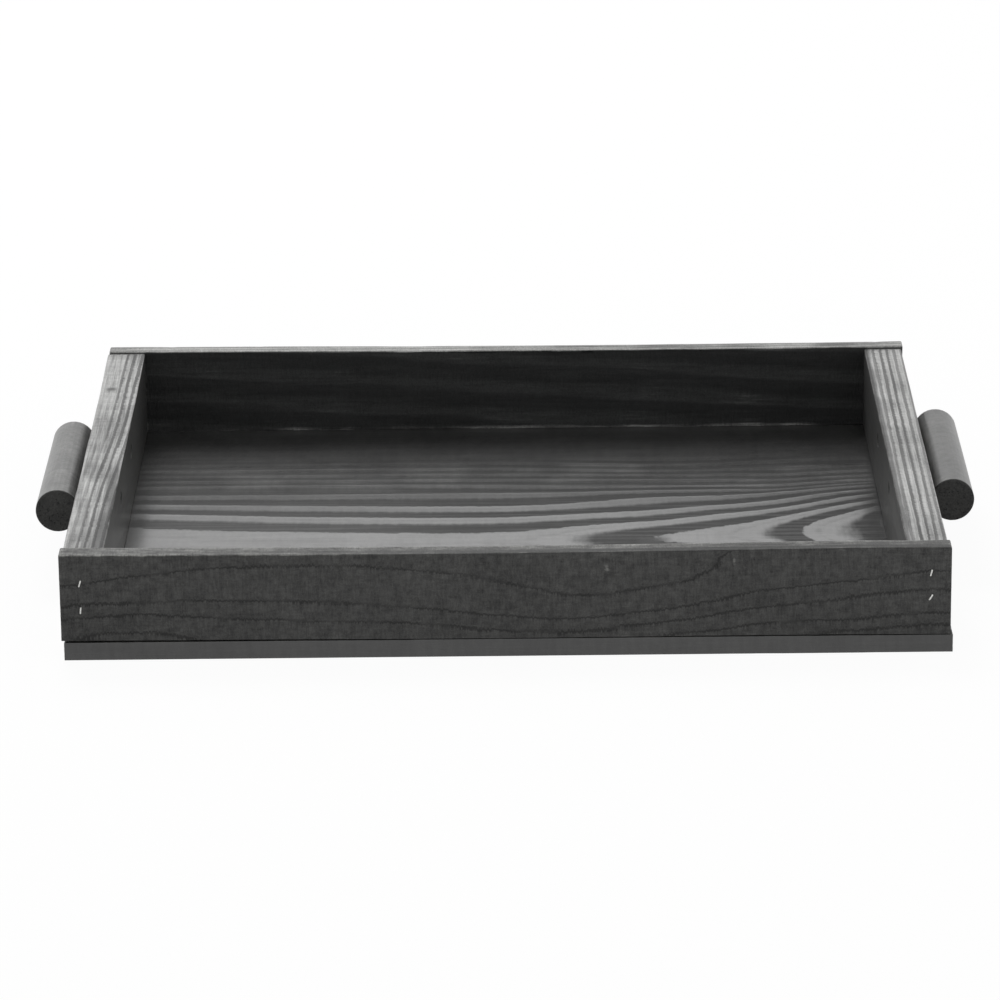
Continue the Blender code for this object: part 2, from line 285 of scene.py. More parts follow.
def dark_band(years, band, ring_width=1.0):
    """1 in the dark latewood of each year and 0 in its earlywood. Latewood comes in over the band's first
    value and fades between the other two: shares of a year, or millimetres where a ring width is given."""
    sharp, full, end = band
    phase = (years + (full + end) / 4 / ring_width) % 1 * ring_width
    return smooth_step(0, sharp, phase) * (1 - smooth_step(full, end, phase))


def make_piece(name, points, faces, material, nodes, values=()):
    """A finished piece in its place, riding on the tray's one body in place of CAD nodes. Values are what
    its material reads at the points: for each label one number, or a number for each point."""
    mesh = bpy.data.meshes.new(name)
    mesh.from_pydata(points.tolist(), [], faces)
    mesh.shade_smooth()
    for label, numbers in values:
        attribute = mesh.attributes.new(label, "FLOAT", "POINT")
        attribute.data.foreach_set("value", np.full(len(points), numbers, np.float32))
    mesh.materials.append(material)
    piece = bpy.data.objects.new(name, mesh)
    bpy.context.collection.objects.link(piece)
    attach(piece, "root")
    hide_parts(*nodes)


def planed_board(
    name, node, grain, ease, steps, closer, count, band, relief, marks, dent, material, seed,
    even_lines=False, shift=None,
):
    """A board, as a box of the CAD node's size. Its edges are rounded by pulling each point in to a smaller
    box and pushing it out again by the radius, which wanders along the edges, grows at the knocks and is
    small along the foot. Then the earlywood between the dark bands is sunk by the relief, and dents are
    pressed in round the fasteners. Marks gives, for each point, how far wear and painted light lighten it
    (painted shade lessens this), how strongly the figure shows there, and how far stain and painted shade
    darken it. Even lines are as wide, in millimetres, where the rings crowd as where they spread. Shift
    says how far each point of a board that isn't quite straight lies from its place on a straight one."""
    low, high = node_box(node)
    lines = [grid_lines(low[i], high[i], ease, steps[i], closer[i]) for i in range(3)]
    flat, quads = box_skin(lines)
    dice = np.random.default_rng(seed)
    knocks = low + (high - low) * dice.uniform(size=(knock_count, 3)).round(dice.integers(0, 3))
    on_face = dice.uniform(size=(knock_count, 3)) < knock_share
    knocks = np.where(on_face, np.where(knocks > (low + high) / 2, high, low), knocks)
    knocks[:, grain] = dice.uniform(low[grain], high[grain], knock_count)
    nearness = np.exp(-((flat[:, None] - knocks) ** 2).sum(axis=2) / knock_reach**2).sum(axis=1)
    growth = edge_unevenness * wander(flat, edge_wave, seed)
    radius = ease * (1 + growth + knock_growth * np.minimum(nearness, 1))[:, None]
    radius *= 1 - foot_sharpness * smooth_step(foot_height, 0.0, flat[:, 2:] - low[2])
    inner = np.clip(flat, low + radius, high - radius)
    outward = flat - inner
    outward /= np.linalg.norm(outward, axis=1, keepdims=True)
    years = count(flat * 1000)
    ring_width = 1.0
    if even_lines:
        # A ring's width is 2 mm over the count's rise in 2 mm along and up the board, and 25 mm at most.
        slopes = [count(flat * 1000 + step) - count(flat * 1000 - step) for step in np.eye(3)[[0, 2]]]
        ring_width = 2 / np.maximum(np.hypot(*slopes), 0.08)
    end_grain = smooth_step(0.5, 0.9, np.abs(outward[:, grain]))
    sunk = relief * (1 - dark_band(years, band, ring_width)) * (1 - 0.7 * end_grain) + dent(flat)
    points = inner + outward * (radius - sunk[:, None])
    if shift:
        points += shift(flat)
    # Edges rub thin, least along the foot. The second nearest face tells how far a point is from an edge.
    to_faces = np.sort(np.minimum(flat - low, high - flat), axis=1)
    edge = np.exp(-((to_faces[:, 1] / (edge_rub_width * ease)) ** 2))
    edge *= 0.6 + 0.4 * wander(flat, edge_rub_wave, seed + 1)
    edge *= smooth_step(-0.1, 0.3, outward[:, 2])
    rubbed, figure, pooled = marks(flat, outward)
    values = (
        ("years", years),
        ("ring_width", ring_width),
        ("rubbed", np.clip(edge + rubbed, 0, 1)),
        ("figure", figure),
        ("pooled", pooled),
        ("end_grain", end_grain),
    )
    make_piece(name, points, quads.tolist(), material, [node], values)


def new_group(name, inputs, outputs):
    """A node group with named sockets. Returns it with the sockets that its nodes read and fill."""
    group = bpy.data.node_groups.new(name, "ShaderNodeTree")
    for label, (kind, value) in inputs.items():
        socket = group.interface.new_socket(label, in_out="INPUT", socket_type=f"NodeSocket{kind}")
        socket.default_value = value
    for label, kind in outputs.items():
        group.interface.new_socket(label, in_out="OUTPUT", socket_type=f"NodeSocket{kind}")
    return group, group.nodes.new("NodeGroupInput").outputs, group.nodes.new("NodeGroupOutput").inputs


def ramp(tree, value, start, end, low=0.0, high=1.0):
    """Value carried smoothly from low to high as it goes from start to end."""
    inputs = {"Value": value, "From Min": start, "From Max": end, "To Min": low, "To Max": high}
    return add_node(tree, "MapRange", inputs, interpolation_type="SMOOTHSTEP")


def noise(tree, place, scale, detail=3.0, roughness=0.6):
    """Unevenness from 0 to 1: a noise texture with its middle range spread out."""
    inputs = {"Vector": place, "Scale": scale, "Detail": detail, "Roughness": roughness}
    return ramp(tree, add_node(tree, "TexNoise", inputs), 0.3, 0.7)


def blend(tree, share, first, second, blend_type="MIX"):
    """The first colour, carried to the second by the share, or combined with it as the type says."""
    inputs = {"Factor": share, 6: first, 7: second}
    return add_node(tree, "Mix", inputs, output=2, data_type="RGBA", blend_type=blend_type)


# Stained softwood, seen close: earlywood and latewood of each year, fibres along the grain, saw marks
# across it, stain that took unevenly, corners rubbed thin, and end grain that drank more of the stain.
stained_wood, given, made = new_group(
    "stained_wood",
    {
        "Place": ("Vector", (0, 0, 0)),
        "Fibre Stretch": ("Vector", (1, 1, 1)),
        "Saw Stretch": ("Vector", (1, 1, 1)),
        "Years": ("Float", 0),
        "Ring Width": ("Float", 1),
        "Rubbed": ("Float", 0),
        "Figure": ("Float", 1),
        "Pooled": ("Float", 0),
        "End Grain": ("Float", 0),
        "Early": ("Color", (0.05, 0.05, 0.05, 1)),
        "Late": ("Color", (0.02, 0.02, 0.02, 1)),
        "Worn": ("Color", (0.2, 0.2, 0.2, 1)),
        "Band Sharp": ("Float", 0.06),
        "Band Full": ("Float", 0.1),
        "Band End": ("Float", 0.3),
        "Waver": ("Float", 0.05),
        "Ragged": ("Float", 0.05),
        "Fine Lines": ("Float", 0.3),
        "Patch Contrast": ("Float", 0.1),
        "Fibre Contrast": ("Float", 0.3),
        "Saw Contrast": ("Float", 0.1),
        "Fleck Contrast": ("Float", 0.1),
        "Broken Lines": ("Float", 0.3),
        "Saw Depth": ("Float", 0.3),
        "Early Roughness": ("Float", 0.5),
        "Late Roughness": ("Float", 0.6),
        "Pooled Smoothness": ("Float", 0),
        "Lacquer": ("Float", 0.5),
        "Late Lacquer": ("Float", 0.1),
    },
    {"Colour": "Color", "Roughness": "Float", "Lacquer": "Float", "Height": "Float"},
)
tree = stained_wood
fibre_place, saw_place = (
    add_node(tree, "VectorMath", {0: given["Place"], 1: given[stretch]}, operation="MULTIPLY")
    for stretch in ("Fibre Stretch", "Saw Stretch")
)
fibres = noise(tree, fibre_place, 1.0, 5.0, 0.65)
streaks = noise(tree, fibre_place, 0.22, 2.0, 0.5)
saw_marks = noise(tree, saw_place, 1.0, 3.0, 0.6)
uptake = noise(tree, given["Place"], 30.0, 2.0, 0.5)
patches = noise(tree, given["Place"], 260.0, 3.0, 0.6)
pores = noise(tree, given["Place"], 1700.0, 2.0, 0.7)
open_grain = noise(tree, given["Place"], 620.0, 2.0, 0.6)


def plus(first, second):
    """Sum of two values in the grain group."""
    return calculate(stained_wood, "ADD", first, second)


def less(first, second):
    """The first value less the second."""
    return calculate(stained_wood, "SUBTRACT", first, second)


def times(first, second):
    """Product of two values."""
    return calculate(stained_wood, "MULTIPLY", first, second)


# Dark bands by dark_band's rule, with lines that waver with the fibres and saw marks and break here and
# there, thin lines between them, and darkening by stain, and by painted shade where the marks lay it on.
waver = plus(times(fibres, 0.35), streaks)
waver = times(less(waver, 0.675), given["Waver"])
waver = calculate(tree, "MULTIPLY_ADD", less(saw_marks, 0.5), given["Ragged"], waver)
centre = times(plus(given["Band Full"], given["Band End"]), 0.25)
moved = calculate(tree, "DIVIDE", plus(waver, centre), given["Ring Width"])
years = plus(given["Years"], moved)
phase = times(calculate(tree, "FRACT", years), given["Ring Width"])
starts = ramp(tree, phase, 0.0, given["Band Sharp"])
ends = ramp(tree, phase, given["Band Full"], given["Band End"], 1.0, 0.0)
late = times(starts, ends)
kept = less(1.0, given["Broken Lines"])
breaks = noise(tree, fibre_place, 0.5, 2.0)
late = times(late, ramp(tree, breaks, 0.0, 0.6, kept, 1.0))
thin_phase = calculate(tree, "FRACT", times(years, 4.0))
thin = times(ramp(tree, thin_phase, 0.0, 0.45, 1.0, 0.0), given["Fine Lines"])
thin = times(thin, streaks)
dark = times(calculate(tree, "MAXIMUM", late, thin), given["Figure"])
pooled = times(given["Pooled"], ramp(tree, fibres, 0.0, 0.6, 0.8, 1.0))
dark = calculate(tree, "MAXIMUM", dark, pooled)

# Colour of the stained wood, then where wear and painted light make it pale and painted shade keeps it
# dark, then the end grain, then its unevenness.
colour = blend(tree, dark, given["Early"], given["Late"])
wear_and_painted_light_share = less(plus(times(fibres, 0.3), times(uptake, 0.3)), 0.3)
wear_and_painted_light_share = plus(given["Rubbed"], wear_and_painted_light_share)
worn_and_painted_light = ramp(tree, wear_and_painted_light_share, 0.15, 0.95)
worn_and_painted_light = times(worn_and_painted_light, less(1.0, times(dark, 0.78)))
colour = blend(tree, worn_and_painted_light, colour, given["Worn"])
mottle = calculate(tree, "MULTIPLY_ADD", patches, 0.5, times(open_grain, 0.9))
mottle = times(mottle, given["End Grain"])
colour = blend(tree, mottle, colour, given["Late"])
lift = ramp(tree, uptake, 0.0, 1.0, 0.9, 1.1)
textures = {
    "Patch Contrast": patches,
    "Fibre Contrast": fibres,
    "Saw Contrast": saw_marks,
    "Fleck Contrast": pores,
}
for contrast, texture in textures.items():
    lift = calculate(tree, "MULTIPLY_ADD", less(texture, 0.5), given[contrast], lift)
open_lift = times(less(open_grain, 0.5), given["End Grain"])
lift = calculate(tree, "MULTIPLY_ADD", open_lift, 1.5, lift)
colour = blend(tree, 1.0, colour, add_node(tree, "CombineColor", {0: lift, 1: lift, 2: lift}), "MULTIPLY")
tree.links.new(colour, made["Colour"])

# Roughness and lacquer, which end grain has none of.
rough = add_node(
    tree, "MapRange", {"Value": dark, "To Min": given["Early Roughness"], "To Max": given["Late Roughness"]}
)
rough = plus(rough, times(less(fibres, 0.5), 0.1))
rough = less(rough, times(pooled, given["Pooled Smoothness"]))
rough = calculate(tree, "MAXIMUM", rough, times(given["End Grain"], 0.75))
tree.links.new(rough, made["Roughness"])
film = add_node(
    tree, "MapRange", {"Value": dark, "To Min": given["Lacquer"], "To Max": given["Late Lacquer"]}
)
film = times(film, less(1.0, given["End Grain"]))
film = times(film, ramp(tree, fibres, 0.0, 0.6, 0.8, 1.0))
tree.links.new(film, made["Lacquer"])

# Height: saw marks, fibres, and the ridges of the dark bands.
height = times(less(saw_marks, 0.5), given["Saw Depth"])
height = plus(height, times(fibres, 0.35))
height = plus(height, times(dark, 0.45))
tree.links.new(height, made["Height"])


def wood_material(name, look, band, bump_depth, specular, coat_roughness, coat_ior):
    """A stained wood. Look gives the grain group's values, and band those of its dark bands, as for
    dark_band. The rest is the same all over the surface."""
    material = bpy.data.materials.new(name)
    material.use_nodes = True
    tree = material.node_tree
    grain = tree.nodes.new("ShaderNodeGroup")
    grain.node_tree = stained_wood
    place = add_node(tree, "TexCoord", output="Object")
    tree.links.new(place, grain.inputs["Place"])
    for label in ("Years", "Ring Width", "Rubbed", "Figure", "Pooled", "End Grain"):
        read = add_node(tree, "Attribute", output="Fac", attribute_name=label.lower().replace(" ", "_"))
        tree.links.new(read, grain.inputs[label])
    dark_bands = dict(zip(("Band Sharp", "Band Full", "Band End"), band))
    for label, value in (look | dark_bands).items():
        grain.inputs[label].default_value = value
    shader = tree.nodes["Principled BSDF"]
    shader.inputs["Specular IOR Level"].default_value = specular
    shader.inputs["Coat Roughness"].default_value = coat_roughness
    shader.inputs["Coat IOR"].default_value = coat_ior
    tree.links.new(grain.outputs["Colour"], shader.inputs["Base Color"])
    tree.links.new(grain.outputs["Roughness"], shader.inputs["Roughness"])
    tree.links.new(grain.outputs["Lacquer"], shader.inputs["Coat Weight"])
    bump = add_node(
        tree, "Bump", {"Height": grain.outputs["Height"], "Distance": bump_depth, "Strength": 1.0}
    )
    tree.links.new(bump, shader.inputs["Normal"])
    return material


panel_wood = wood_material(
    "lacquered_panel",
    {
        "Fibre Stretch": (18, 900, 900),
        "Saw Stretch": (300, 55, 55),
        "Early": (0.0635, 0.0635, 0.0625, 1),
        "Late": (0.015, 0.015, 0.0147, 1),
        "Worn": (0.12, 0.12, 0.118, 1),
        "Waver": 0.025,
        "Ragged": 0.045,
        "Fine Lines": 0.28,
        "Patch Contrast": 0.15,
        "Fibre Contrast": 0.40,
        "Saw Contrast": 0.30,
        "Fleck Contrast": 0.25,
        "Broken Lines": 0.15,
        "Saw Depth": 0.10,
        "Early Roughness": 0.40,
        "Late Roughness": 0.55,
        "Pooled Smoothness": 0.2,
        "Lacquer": 1.0,
        "Late Lacquer": 0.0,
    },
    panel_band,
    bump_depth=0.00008,
    specular=0.30,
    coat_roughness=0.19,
    coat_ior=2.0,
)

panel_low, panel_high = node_box("base_panel")
base_staple_reach = 0.2135  # from the tray's middle to the base staples
base_staple_rows = [node_middle(f"base_staple_left_{row}")[1] for row in range(1, 5)]
base_staple_crown = np.array((-0.5, math.sqrt(0.75), 0))  # its direction, 30 degrees from straight back
crown_dent_depth = 0.00055
crown_dent_floor = (0.00185, 0.0003)  # half of the dent's flat floor, along the crown and across it
crown_dent_wall = (0.0002, 0.0006)  # where the wall round that floor starts and ends


def crown_dent(flat, middle, along, normal_axis, face):
    """Depth of the dent round a staple's crown: a slot a little wider than the wire, with soft shoulders.
    It goes by the distance from the crown's middle line, and only on the face that the staple enters."""
    offset = flat - middle
    offset[:, normal_axis] = 0
    run = offset @ along
    beside = np.linalg.norm(offset - run[:, None] * along, axis=1)
    past_end = np.maximum(np.abs(run) - crown_dent_floor[0], 0)
    past_side = np.maximum(beside - crown_dent_floor[1], 0)
    on_face = np.abs(flat[:, normal_axis] - face) < 1e-6
    return crown_dent_depth * (1 - smooth_step(*crown_dent_wall, np.hypot(past_end, past_side))) * on_face


def panel_years(place):
    """The count over the panel. Later years are stretched, by a table at the left and one at the right."""
    x, y, z = place.T
    years = year_count(x, y, (z - panel_high[2] * 1000) / panel_ring_depth, panel_heart, panel_hills)
    left, right = np.interp(years, *panel_left_years), np.interp(years, *panel_right_years)
    rightness = smooth_step(115, 160, x)
    stretched = left * (1 - rightness) + right * rightness
    return np.where(years > panel_right_years[0][1], stretched, years)


def panel_dent(flat):
    """A dent round each of the eight crowns in the underside."""
    columns = (-base_staple_reach, base_staple_reach)
    middles = [np.array((column, row, 0.0)) for column in columns for row in base_staple_rows]
    return sum(crown_dent(flat, middle, base_staple_crown, 2, panel_low[2]) for middle in middles)


def panel_marks(flat, outward):
    """The figure is weaker at the back and faint on the cut edges. A band behind the middle of the floor is
    pale from wear, and small scratches show pale. Painted shade lies along the foot of each end board, and
    the back board's painted shadow over the back; stain lies in a few streaks and on the cut edges."""
    x, y, face = flat[:, 0], flat[:, 1], outward[:, 2] > 0.7
    upright = smooth_step(0.35, 0.8, np.hypot(outward[:, 0], outward[:, 1]))
    back = face * smooth_step(0.100, 0.125, y)
    figure = (0.9 + 0.1 * smooth_step(-0.1, 0.0, x)) * (1 - (1 - panel_back_figure) * back)
    rub_and_painted_light = panel_rub * smooth_step(*panel_rub_starts, y) * smooth_step(*panel_rub_ends, y) * face
    for strength, *scratch in panel_scratches:
        rub_and_painted_light = rub_and_painted_light + strength * face * swelling(x, y, *scratch)
    # Painted shade along the foot of each end board, fading out towards the front.
    pooled = smooth_step(0.1995, 0.2030, np.abs(x)) * smooth_step(-0.16, 0.0, y)
    # Painted shadow of the back board over the back of the floor.
    pooled = np.maximum(pooled, np.interp(y, panel_back_places, panel_back_painted_shade))
    for strength, *pool in panel_pools:
        pooled = np.maximum(pooled, strength * swelling(x, y, *pool, power=4))
    return rub_and_painted_light, figure * (1 - 0.9 * upright), pooled * face + 0.68 * upright


def round_about(places, reach, step):
    """Spans for grid_lines, with lines a step apart as far as the reach on both sides of each place."""
    return [(place - reach, place + reach, step) for place in places]


planed_board(
    "panel", "base_panel", grain=0, ease=panel_ease, steps=panel_steps,
    closer=(
        round_about((-base_staple_reach, base_staple_reach), 0.0021, 0.0003)
        + round_about([x for _, x, *_ in panel_scratches], *scratch_grid),
        round_about(base_staple_rows, 0.0026, 0.0003),
        [],
    ),
    count=panel_years, band=panel_band, relief=panel_relief, marks=panel_marks, dent=panel_dent,
    material=panel_wood, seed=11,
)

# End boards: two short boards of thicker planed stock, between the long boards. The years stand on edge in
# them, so their top edges show as stripes that run from front to back, where the stain has rubbed thin.

end_board_ease = 0.0008
end_board_steps = (0.0007, 0.0026, 0.0011)
end_board_relief = 0.00016
end_board_band = (0.06, 0.36, 0.52)
end_board_proud = 0.0015  # the left board's top edge, at the back
end_board_proud_from = (0.085, 0.160)
screw_height = 0.040
screw_sink_depth = 0.0009
screw_sink_wall = (0.0036, 0.0040)  # where the countersink's wall starts and ends, from the screw's axis
screw_grid = (0.0042, 0.0004)  # half width of the closer grid over a countersink, and its step

end_board_wood = wood_material(
    "stained_end_board",
    {
        "Fibre Stretch": (900, 24, 900),
        "Saw Stretch": (60, 500, 60),
        "Early": (0.050, 0.050, 0.048, 1),
        "Late": (0.022, 0.022, 0.0215, 1),
        "Worn": (0.35, 0.35, 0.344, 1),
        "Waver": 0.16,
        "Ragged": 0.12,
        "Fine Lines": 0.3,
        "Patch Contrast": 0.15,
        "Fibre Contrast": 0.60,
        "Saw Contrast": 0.30,
        "Fleck Contrast": 0.45,
        "Broken Lines": 0.15,
        "Saw Depth": 0.35,
        "Early Roughness": 0.5,
        "Late Roughness": 0.6,
        "Lacquer": 0.5,
        "Late Lacquer": 0.1,
    },
    end_board_band,
    bump_depth=0.00022,
    specular=0.35,
    coat_roughness=0.35,
    coat_ior=1.5,
)

end_board_lines = {  # the first line's place across, its drift, years to a millimetre, how they close up
    "left": (-212.4, 0.0295, 0.250, 0.0),
    "right": (211.25, 0.0030, 0.250, 0.00005),
}
end_board_heart = (0.0, 60.0, 9.0, 0.0, 0.0)
end_board_hills = {
    "left": (
        (-0.20, 35.0, 0.0, 50.0, 60.0),
        (0.22, -80.0, 0.0, 50.0, 60.0),
        (0.15, 165.0, 0.0, 50.0, 60.0),
    ),
    "right": ((0.8, -70.0, 26.0, 80.0, 14.0), (-0.9, 60.0, 32.0, 110.0, 12.0)),
}
end_board_inner_places = (-0.08, 0.0, 0.08, 0.14)  # from front to back
# Painted shade on each end board's inner face, at the places above.
end_board_inner_painted_shade = {"left": (0.0, 0.05, 0.45, 1.0), "right": (0.0, 0.35, 0.75, 1.0)}
end_board_pools = {  # of the top edge, as the panel's
    "left": (
        (1.0, -0.2178, 0.1040, 0.0029, 0.0036),
        (0.60, -0.2066, -0.0835, 0.0016, 0.0024),
        (0.50, -0.2068, 0.0350, 0.0011, 0.0150),
        (0.40, -0.2070, -0.1200, 0.0012, 0.0300),
    ),
    "right": (),
}

for side, way in (("left", -1), ("right", 1)):
    low, high = node_box(f"{side}_end_board")
    screw_rows = [node_middle(f"grip_screw_{side}_{end}")[1] for end in ("front", "back")]

    def end_board_years(place):
        """The rings stand on edge, so the count rises across the board, and swells a little along it."""
        x, y, z = place.T
        first, drift, per_mm, closing = end_board_lines[side]
        across = x - first - drift * y
        count = across * per_mm + closing * across**3
        return year_count(y, high[2] * 1000 - z, count, end_board_heart, end_board_hills[side])

    def end_board_dent(flat):
        """A countersink round each screw, in the inner face."""
        inner_face = high[0] if way < 0 else low[0]
        on_face = np.abs(flat[:, 0] - inner_face) < 1e-6
        dent = np.zeros(len(flat))
        for row in screw_rows:
            away = np.hypot(flat[:, 1] - row, flat[:, 2] - screw_height)
            dent += screw_sink_depth * (1 - smooth_step(*screw_sink_wall, away)) * on_face
        return dent

    def end_board_shift(flat):
        """The left board's top edge is a little proud at the back."""
        near_top = smooth_step(shift_height, 0.0, high[2:] - flat[:, 2:])
        near_back = smooth_step(*end_board_proud_from, flat[:, 1:2])
        return (0, 0, end_board_proud) * near_back * near_top * (way < 0)

    def end_board_marks(flat, outward):
        """The top edge is pale from wear, but for a darker strip along the inside, which on the left board
        shows only at the front; on the right board that strip is painted shade where the inner arris rounds
        over. The figure is weaker along the outside, on the right board also along the inside, and faint on
        the other faces. Painted shade lies on the inner face, deepening towards the back, and on the left
        board stain lies in a few spots of the top edge."""
        top = smooth_step(0.3, 0.7, outward[:, 2])
        x, y = np.abs(flat[:, 0]), flat[:, 1]
        rub_and_painted_light = 0.80 + 0.08 * y / 0.16 + 0.16 * min(way, 0)
        if way < 0:
            outer = smooth_step(0.2140 - 0.010 * y, 0.2165 - 0.010 * y, x)
            figure = 1 - (0.5 + 0.25 * smooth_step(-0.08, 0.04, y)) * outer
            inner = smooth_step(0.2090, 0.2075, x) * smooth_step(-0.02, -0.05, y)
            rub_and_painted_light = rub_and_painted_light - (0.40 + 0.5 * smooth_step(0.2060, 0.2045, x)) * inner
        else:
            figure = 1.0 - 0.2 * smooth_step(0.209, 0.207, x) - 0.2 * smooth_step(0.2175, 0.2195, x)
            # Painted shade along the inner arris of the top edge, where it rounds over.
            rub_and_painted_light = rub_and_painted_light - 1.1 * smooth_step(0.2068, 0.2036, x)
        # Painted shade on the inner face, deeper towards the back.
        pooled = np.interp(y, end_board_inner_places, end_board_inner_painted_shade[side]) * (1 - top) * (x < 0.21)
        for strength, *pool in end_board_pools[side]:
            pooled = np.maximum(pooled, strength * swelling(flat[:, 0], y, *pool, power=4) * top)
        return rub_and_painted_light * top, 0.3 + (figure - 0.3) * top, pooled

    planed_board(
        f"end_board_{side}", f"{side}_end_board", grain=1, ease=end_board_ease, steps=end_board_steps,
        closer=([], round_about(screw_rows, *screw_grid), round_about([screw_height], *screw_grid)),
        count=end_board_years, band=end_board_band, relief=end_board_relief, marks=end_board_marks,
        dent=end_board_dent, material=end_board_wood, seed=21 + way,
        shift=end_board_shift,
    )

# Long boards: the front and back boards of thinner stock, which run over the ends of the end boards and are
# stapled to them. Their faces are left a little furry from the saw, and thin dark lines wave along them.

long_board_ease = 0.0009
long_board_steps = (0.0028, 0.0009, 0.0009)
long_board_relief = 0.00010
long_board_bands = {"front": (0.3, 0.9, 1.7), "back": (0.14, 0.48, 0.80)}  # the front's in millimetres
long_board_ring_depth = 4.4  # millimetres of the boards' thickness to a year
back_line_fall = 0.062  # of the back board's lines, to the right
back_ring_width = 16.5
back_board_short = 0.0017  # missing at its left end
back_board_short_over = 0.007
staple_leans = {"left": (5, 17), "right": (31, 15)}  # degrees from upright, lower and upper
corner_staple_reach = 0.2147  # from the tray's middle to the corner staples
front_heart = (42.87, 12.60, 14.00, -0.0121, -0.258)
front_hills = (
    (2.81, 118.3, 25.5, 72.9, 14.2),
    (1.07, 138.7, 50.6, 41.3, 11.6),
    (0.92, -45.3, 15.0, 67.1, 14.3),
    (1.75, 176.5, 9.6, 199.8, 7.0),
    (-1.29, 91.8, 28.6, 64.7, 9.8),
    (2.24, -197.7, 16.0, 114.2, 14.6),
    (2.74, 227.2, 27.3, 67.1, 32.4),
    (1.58, -105.4, 39.1, 193.2, 19.2),
)
front_chips = ((0.0512, 0.0470), (0.1152, 0.0500))
front_chip_reach = (0.0010, 0.0018)
front_chip_rub = 0.8
front_outer_strip = (-0.1693, -0.1705)  # where the darker outer strip of its top edge starts, and is full: less wear there, and painted shade
back_foot_glint_strip = (0.0026, 0.0008)  # height of the painted glint along the foot, and of its full part
back_over_ends_rub = (0.7, 0.25)  # above the left end board, and above the right one

# Places along the boards, and what holds at each: bows and rises in metres, and how strong each mark is.
long_board_places = (-0.222, -0.130, -0.050, 0.020, 0.100, 0.175, 0.222)
long_board_bows = {
    "front": (0.00040, 0.00060, 0.00110, 0.00120, 0.00095, 0.00095, 0.00125),
    "back": (0.00148,) * 7,
}
long_board_rises = {
    "front": (0.0008, 0.0, -0.0004, -0.0004, 0.0, 0.0006, 0.0003),
    "back": (0.0016, 0.0010, 0.0002, 0.0, 0.0, 0.0, 0.0003),
}
front_top_rub = (0.52, 0.50, 0.47, 0.45, 0.39, 0.28, 0.34)
front_top_outer_rub = (0.52, 0.34, 0.15, 0.0, 0.0, 0.0, 0.05)
# Painted shade: over the outer strip of the front's top edge, and on its outer arris.
front_top_outer_painted_shade = (0.0, 0.0, 0.15, 0.5, 0.8, 0.6, 0.3)
front_arris_shade = (0.0, 0.3, 0.6, 0.8, 0.9, 0.9, 0.7)
back_top_rub = (0.98, 0.96, 0.84, 0.76, 0.68, 0.62, 0.60)
# Painted glint along the foot of the back board's inner face, broken along its length.
back_foot_places = (-0.16, -0.05, -0.015, 0.03, 0.07, 0.12, 0.17, 0.183)
back_foot_painted_glint = (0.0, 0.44, 0.54, 0.66, 0.22, 0.33, 0.52, 0.0)

front_board_look = {
    "Fibre Stretch": (110, 600, 600),
    "Saw Stretch": (1300, 220, 200),
    "Early": (0.038, 0.038, 0.0366, 1),
    "Late": (0.0120, 0.0120, 0.0114, 1),
    "Worn": (0.19, 0.19, 0.181, 1),
    "Waver": 1.3,
    "Ragged": 1.3,
    "Fine Lines": 0.12,
    "Patch Contrast": 0.65,
    "Fibre Contrast": 0.45,
    "Saw Contrast": 0.55,
    "Fleck Contrast": 0.60,
    "Broken Lines": 0.5,
    "Saw Depth": 0.9,
    "Early Roughness": 0.6,
    "Late Roughness": 0.6,
    "Lacquer": 0.25,
    "Late Lacquer": 0.1,
}
back_board_look = {
    **front_board_look,
    "Early": (0.026, 0.027, 0.0265, 1),
    "Late": (0.013, 0.0135, 0.0135, 1),
    "Worn": (0.36, 0.36, 0.35, 1),
    "Fibre Stretch": (40, 600, 600),
    "Waver": 0.16,
    "Ragged": 0.04,
    "Patch Contrast": 0.12,
    "Saw Contrast": 0.25,
    "Broken Lines": 0.4,
}
long_board_woods = {
    end: wood_material(
        f"stained_{end}_board", look, long_board_bands[end],
        bump_depth=0.00016, specular=0.3, coat_roughness=0.4, coat_ior=1.5,
    )
    for end, look in (("front", front_board_look), ("back", back_board_look))
}


def corner_crown(lean, way):
    """Direction of a corner staple's crown: upright, but leaning to the right as seen from outside."""
    tilt = math.radians(lean)
    return np.array((-way * math.sin(tilt), 0, math.cos(tilt)))


